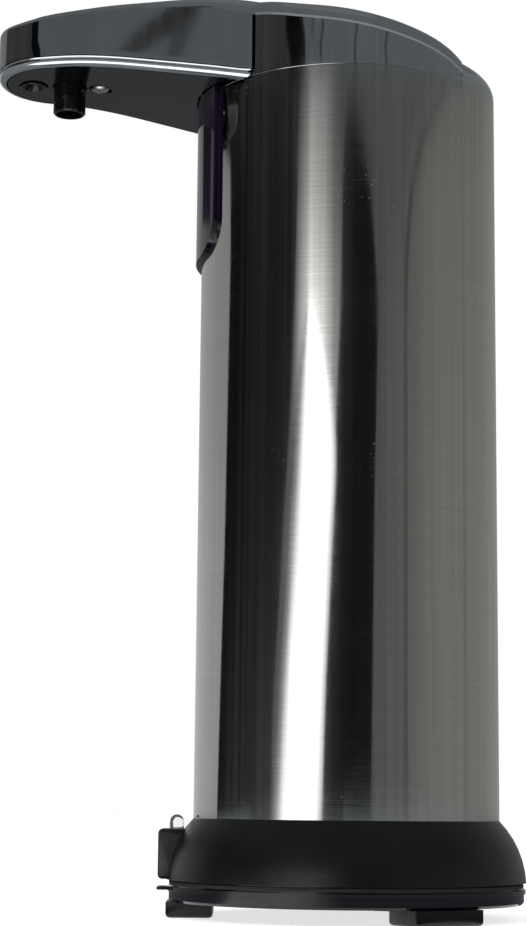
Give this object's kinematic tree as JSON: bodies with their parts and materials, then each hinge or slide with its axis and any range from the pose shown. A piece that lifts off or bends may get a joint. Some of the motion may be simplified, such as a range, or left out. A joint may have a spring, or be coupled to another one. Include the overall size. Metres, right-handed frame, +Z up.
{
  "type": "automatic soap dispenser",
  "caption": "Touch-free soap dispenser: steel tube on a domed base ring, with a teardrop spout over the hand space.",
  "frame": {"origin": "centre of the overall box, at the level of the feet", "axes": "+Z up, the spout points to -X, the lid opens over +X"},
  "size_m": [0.112, 0.073, 0.19],
  "materials": {
    "steel": "mirror polished",
    "chrome": "polished",
    "gloss_black": "gloss",
    "satin_black": "satin",
    "black_rubber": "matte",
    "violet_window": "gloss",
    "clear_plastic": "clear gloss",
    "frosted_plastic": "frosted",
    "grey_plastic": "matte",
    "white_plastic": "satin",
    "cell_wrap": "gloss",
    "spring_steel": "bright",
    "brass": "satin",
    "green_board": "satin",
    "red_wire": "satin",
    "black_wire": "satin",
    "soft_silicone": "matte"
  },
  "bodies": {
    "housing": {"base_ring": "satin_black", "body_tube": "steel", "sensor_window": "violet_window", "sensor_board": "green_board", "ir_emitter": "clear_plastic", "ir_receiver": "clear_plastic", "tank": "frosted_plastic", "tank_seal": "black_rubber", "tank_top": "frosted_plastic", "suction_tube": "clear_plastic", "pump_housing": "grey_plastic", "pump_cover": "grey_plastic", "motor": "spring_steel", "delivery_tube": "clear_plastic", "head_shell": "chrome", "head_collar": "chrome", "rear_shoulder": "chrome", "spout_trim": "chrome", "spout_underplate": "gloss_black", "nozzle": "gloss_black", "nozzle_valve": "soft_silicone", "spout_lens": "gloss_black", "underplate_screw": "spring_steel", "control_board": "green_board", "plus_switch": "grey_plastic", "minus_switch": "grey_plastic", "status_lens": "clear_plastic", "lid_hinge_pin": "spring_steel", "battery_tray": "grey_plastic", "battery_1": "cell_wrap", "battery_2": "cell_wrap", "battery_3": "cell_wrap", "battery_4": "cell_wrap", "contact_front_left": "spring_steel", "contact_front_right": "spring_steel", "contact_rear_middle": "spring_steel", "contact_positive": "spring_steel", "contact_negative": "spring_steel", "lead_positive": "red_wire", "lead_negative": "black_wire", "latch_spring": "spring_steel"},
    "filler_lid": {"filler_lid": "chrome", "lid_seal": "black_rubber"},
    "plus_button": {"plus_button": "gloss_black", "plus_plunger": "white_plastic"},
    "minus_button": {"minus_button": "gloss_black", "minus_plunger": "white_plastic"},
    "latch_pin": {"latch_pin": "clear_plastic"},
    "battery_cover": {"battery_cover": "gloss_black", "cover_seal": "black_rubber", "foot_1": "satin_black", "foot_2": "satin_black", "foot_3": "satin_black"},
    "drive_gear": {"drive_gear": "brass"},
    "idler_gear": {"idler_gear": "brass"}
  },
  "joints": [
    {"name": "filler_lid_hinge", "type": "hinge", "parent": "housing", "child": "filler_lid", "pos_m": [0.0403, 0, 0.17679], "axis": [0, 1, 0], "range_deg": [0, 100]},
    {"name": "plus_button_press", "type": "slide", "parent": "housing", "child": "plus_button", "axis": [0, 0, -1], "range_m": [0, 0.0006], "stiffness_N_per_m": 1500, "springref_m": -0.0004},
    {"name": "minus_button_press", "type": "slide", "parent": "housing", "child": "minus_button", "axis": [0, 0, -1], "range_m": [0, 0.0006], "stiffness_N_per_m": 1500, "springref_m": -0.0004},
    {"name": "latch_pin_press", "type": "slide", "parent": "housing", "child": "latch_pin", "axis": [0, 0, -1], "range_m": [0, 0.0015], "stiffness_N_per_m": 600, "springref_m": -0.0008, "deforming": ["latch_spring"]},
    {"name": "battery_cover_slide", "type": "slide", "parent": "housing", "child": "battery_cover", "axis": [0, 0, -1], "range_m": [0, 0.035]},
    {"name": "drive_gear_spin", "type": "hinge", "parent": "housing", "child": "drive_gear", "pos_m": [0.0015, -0.0045, 0.1314], "axis": [0, 0, 1], "continuous": true},
    {"name": "idler_gear_spin", "type": "hinge", "parent": "housing", "child": "idler_gear", "pos_m": [0.0015, 0.0045, 0.1314], "axis": [0, 0, 1], "continuous": true}
  ],
  "couplings": [
    {"joint": "idler_gear_spin", "follows": "drive_gear_spin", "ratio": -1}
  ]
}
